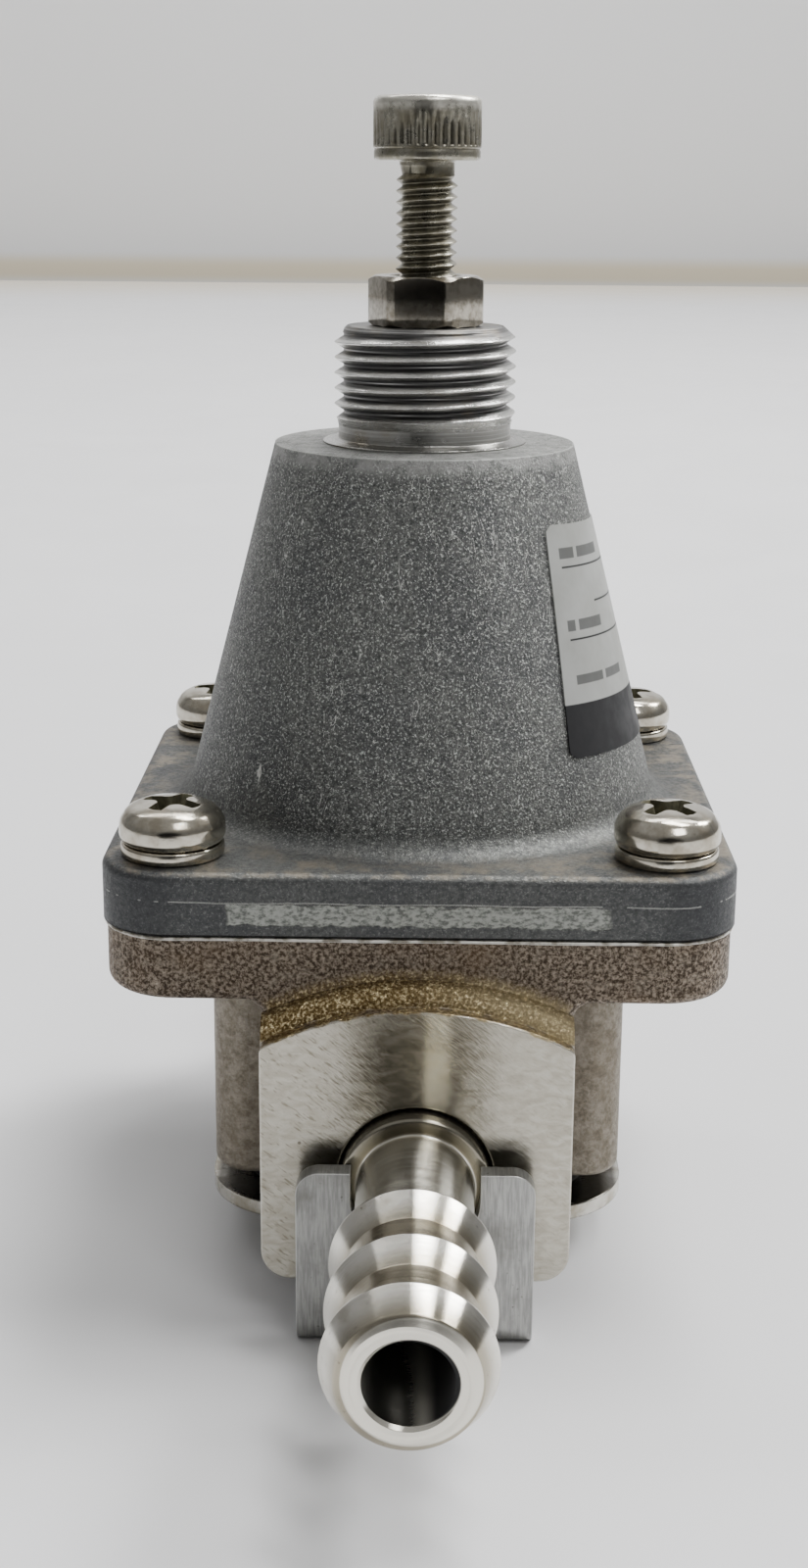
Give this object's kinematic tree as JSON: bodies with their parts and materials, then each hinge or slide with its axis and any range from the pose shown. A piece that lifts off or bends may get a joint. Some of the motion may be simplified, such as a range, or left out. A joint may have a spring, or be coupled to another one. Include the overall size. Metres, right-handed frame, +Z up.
{
  "type": "air pressure regulator",
  "caption": "Small in-line air pressure regulator: square flanged body, cone bonnet with threaded neck, knurled adjusting screw and lock nut, hose barbs held by a fork strap.",
  "frame": {"origin": "centre of the base, on the underside of the retainer strap, under the adjusting screw's axis", "axes": "+Z up along the adjusting screw; -Y out of the outlet barb; +Y out of the inlet barb"},
  "size_m": [0.04, 0.091, 0.0753],
  "materials": {
    "nickel_brass": "cast, nickel plated, satin",
    "zinc_die_cast": "grit-blasted die-cast zinc",
    "bright_nickel": "bright nickel plated steel",
    "aged_zinc": "aged zinc plated steel",
    "spring_steel": "oiled",
    "turned_brass": "turned",
    "barb_nickel": "turned, nickel plated",
    "bare_aluminium": "satin",
    "plated_cover": "bright",
    "black_rubber": "matt",
    "label_film": "matt white film"
  },
  "bodies": {
    "housing": {"body": "nickel_brass", "bonnet": "zinc_die_cast", "bonnet_screws": "bright_nickel", "spring_washers": "bright_nickel", "diaphragm": "black_rubber", "bottom_gasket": "black_rubber", "bottom_cover": "plated_cover", "cover_screws": "bright_nickel", "retainer_strap": "bare_aluminium", "strap_screw": "bright_nickel", "label": "label_film", "range_spring": "spring_steel", "valve_spring": "spring_steel"},
    "spring_seat": {"upper_spring_seat": "turned_brass"},
    "screw": {"adjusting_screw": "aged_zinc"},
    "nut": {"lock_nut": "bright_nickel"},
    "diaphragm_stack": {"diaphragm_plate": "plated_cover", "diaphragm_washer": "plated_cover", "diaphragm_hub": "turned_brass"},
    "valve": {"valve_poppet": "turned_brass", "valve_seal": "black_rubber"},
    "outlet": {"outlet_barb": "barb_nickel", "outlet_o_ring": "black_rubber"},
    "inlet": {"inlet_barb": "barb_nickel", "inlet_o_ring": "black_rubber"}
  },
  "joints": [
    {"name": "seat_travel", "type": "slide", "parent": "housing", "child": "spring_seat", "axis": [0, 0, 1], "range_m": [-0.007, 0.0014], "deforming": ["range_spring"]},
    {"name": "screw_turn", "type": "hinge", "parent": "spring_seat", "child": "screw", "pos_m": [0, 0, 0.06], "axis": [0, 0, 1], "range_deg": [-3601, 721]},
    {"name": "nut_turn", "type": "hinge", "parent": "housing", "child": "nut", "pos_m": [0, 0, 0.0625], "axis": [0, 0, 1], "range_deg": [0, 180]},
    {"name": "diaphragm_travel", "type": "slide", "parent": "housing", "child": "diaphragm_stack", "axis": [0, 0, 1], "range_m": [-0.0008, 0], "stiffness_N_per_m": 3000, "deforming": ["diaphragm"]},
    {"name": "valve_travel", "type": "slide", "parent": "housing", "child": "valve", "axis": [0, 0, 1], "range_m": [-0.0008, 0], "deforming": ["valve_spring"]},
    {"name": "outlet_swivel", "type": "hinge", "parent": "housing", "child": "outlet", "pos_m": [0, -0.025, 0.0101], "axis": [0, 1, 0], "continuous": true},
    {"name": "inlet_swivel", "type": "hinge", "parent": "housing", "child": "inlet", "pos_m": [0, 0.025, 0.0101], "axis": [0, 1, 0], "continuous": true}
  ],
  "couplings": [
    {"joint": "screw_turn", "follows": "seat_travel", "rad_per_m": 8976},
    {"joint": "valve_travel", "follows": "diaphragm_travel", "ratio": 1}
  ]
}
